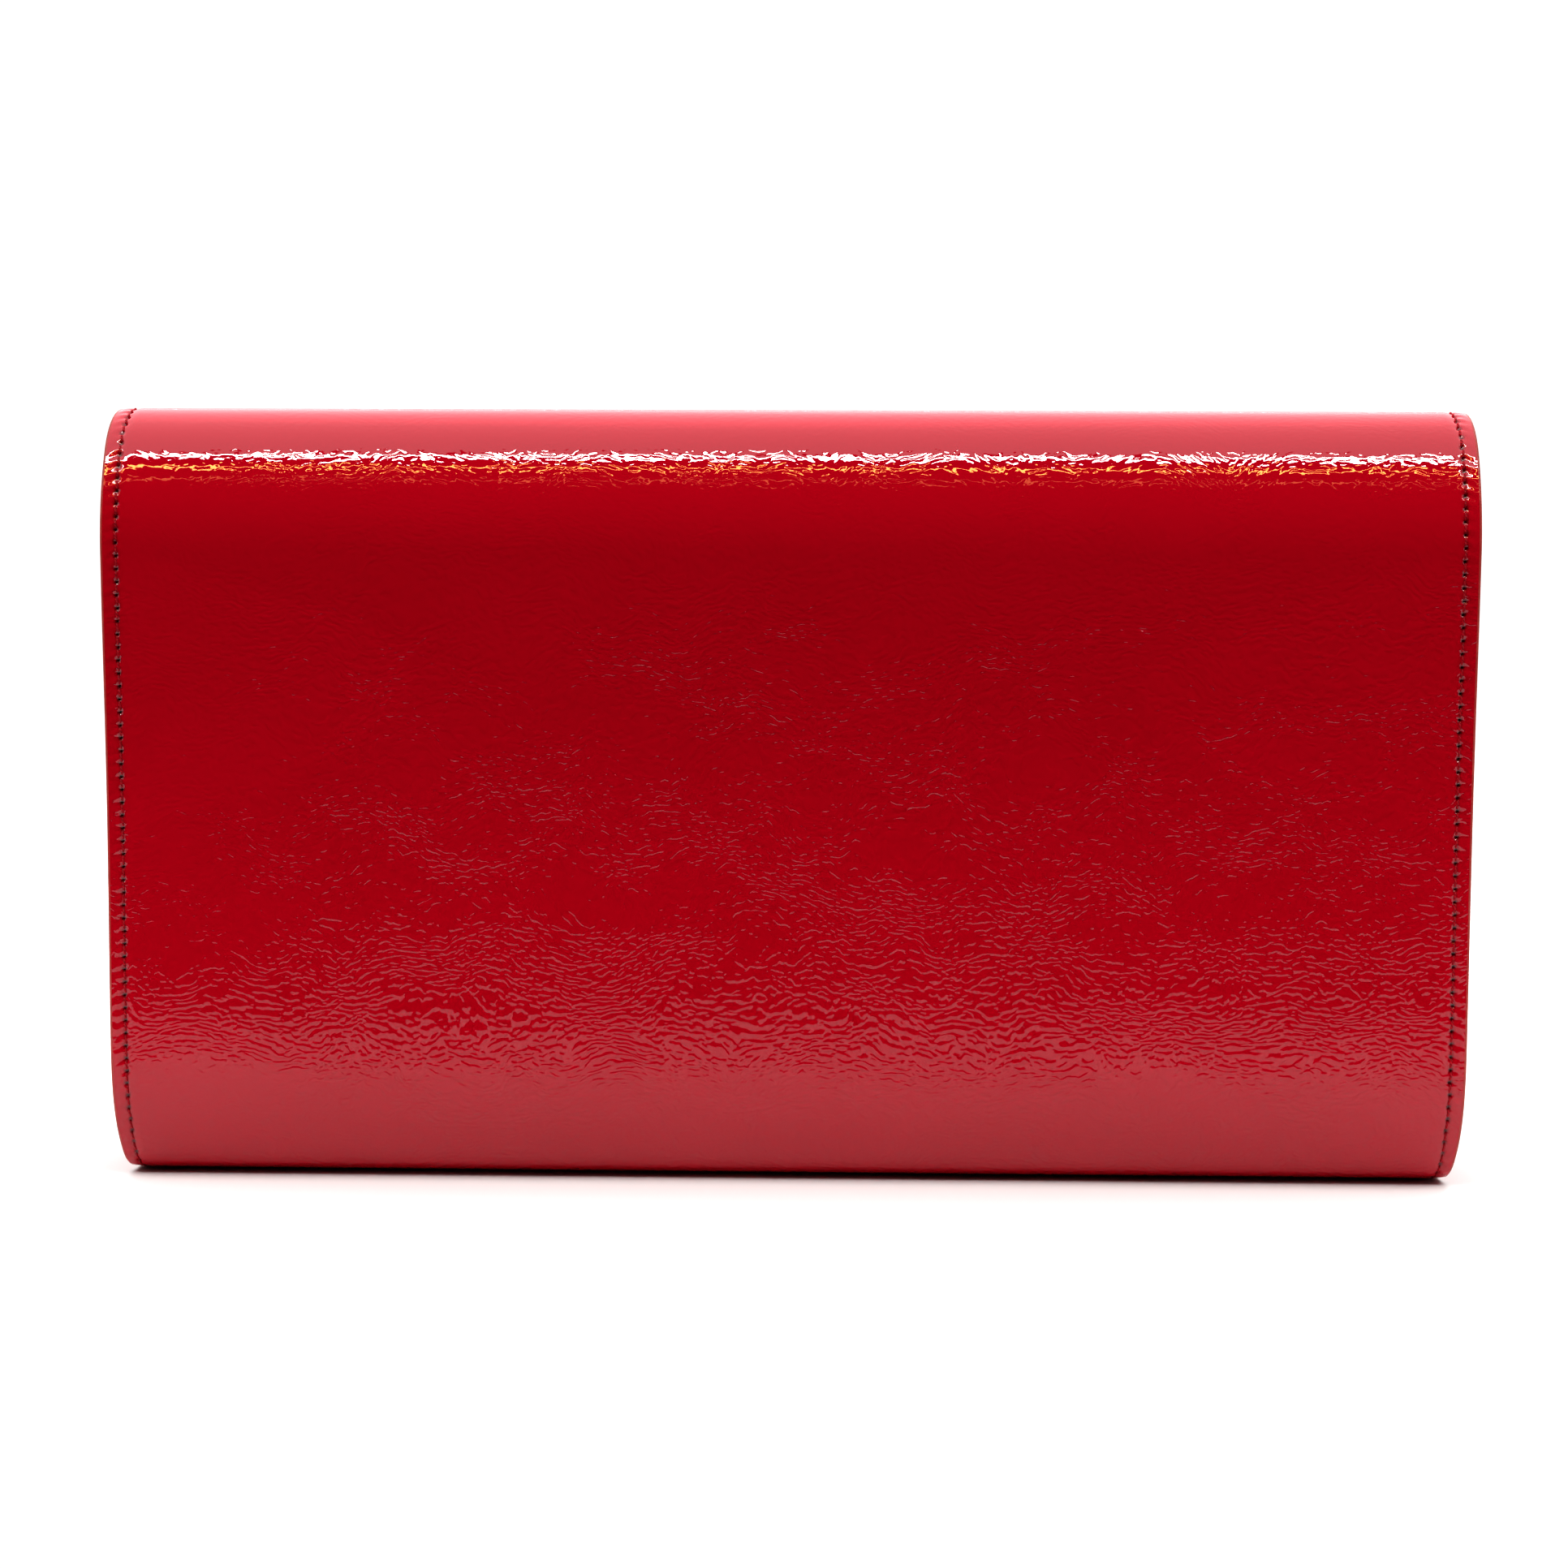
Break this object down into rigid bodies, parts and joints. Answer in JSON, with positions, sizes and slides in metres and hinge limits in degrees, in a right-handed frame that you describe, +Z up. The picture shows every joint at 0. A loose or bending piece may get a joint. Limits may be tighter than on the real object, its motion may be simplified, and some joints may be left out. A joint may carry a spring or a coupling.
{
  "type": "clutch purse",
  "caption": "Boxy flap clutch purse of crinkled patent leather with a rounded top and base, pleated side gussets, a lined main compartment and a hidden magnetic snap.",
  "frame": {"origin": "middle of the base, on the surface that the purse stands on", "axes": "+X along the purse, +Y out of the flap side, -Y out of the plain back, +Z up"},
  "size_m": [0.315, 0.044, 0.18],
  "materials": {
    "patent_leather": "crinkled patent, high gloss",
    "facing_leather": "smooth, satin",
    "lining_fabric": "fine twill",
    "stiffener_board": "matt",
    "snap_plating": "polished",
    "snap_steel": "zinc plated",
    "magnet": "matt"
  },
  "bodies": {
    "body": {"back_leather": "patent_leather", "back_board": "stiffener_board", "bottom_board": "stiffener_board", "back_lining": "lining_fabric", "rear_facing": "facing_leather", "gusset_left": "patent_leather", "gusset_right": "patent_leather", "gusset_lining_left": "lining_fabric", "gusset_lining_right": "lining_fabric", "slip_pocket_hem": "lining_fabric", "slip_pocket_panel": "lining_fabric", "slip_pocket_binding": "facing_leather", "interior_patch": "facing_leather"},
    "spine": {"spine_leather": "patent_leather", "spine_board": "stiffener_board", "spine_facing": "facing_leather"},
    "flap": {"flap_leather": "patent_leather", "flap_board": "stiffener_board", "flap_facing": "facing_leather", "snap_stud_plate": "snap_plating", "snap_stud_pole": "snap_plating", "snap_stud_washer": "snap_steel"},
    "front_wall": {"front_leather": "patent_leather", "front_board": "stiffener_board", "front_lining": "lining_fabric", "front_facing": "facing_leather", "snap_socket_case": "snap_plating", "snap_magnet": "magnet", "snap_socket_base": "snap_steel", "snap_socket_washer": "snap_steel"}
  },
  "joints": [
    {"name": "flap_rear_crease", "type": "hinge", "parent": "body", "child": "spine", "pos_m": [0, -0.01242, 0.1733], "axis": [1, 0, 0], "range_deg": [0, 110]},
    {"name": "flap_front_crease", "type": "hinge", "parent": "spine", "child": "flap", "pos_m": [0, 0.01242, 0.1733], "axis": [1, 0, 0], "range_deg": [0, 88]},
    {"name": "mouth_spread", "type": "hinge", "parent": "body", "child": "front_wall", "pos_m": [0, 0.01274, 0.00326], "axis": [-1, 0, 0], "range_deg": [0, 6.6]}
  ],
  "couplings": [
    {"joint": "flap_front_crease", "follows": "flap_rear_crease", "ratio": 0.8},
    {"joint": "mouth_spread", "follows": "flap_rear_crease", "ratio": 0.06}
  ]
}
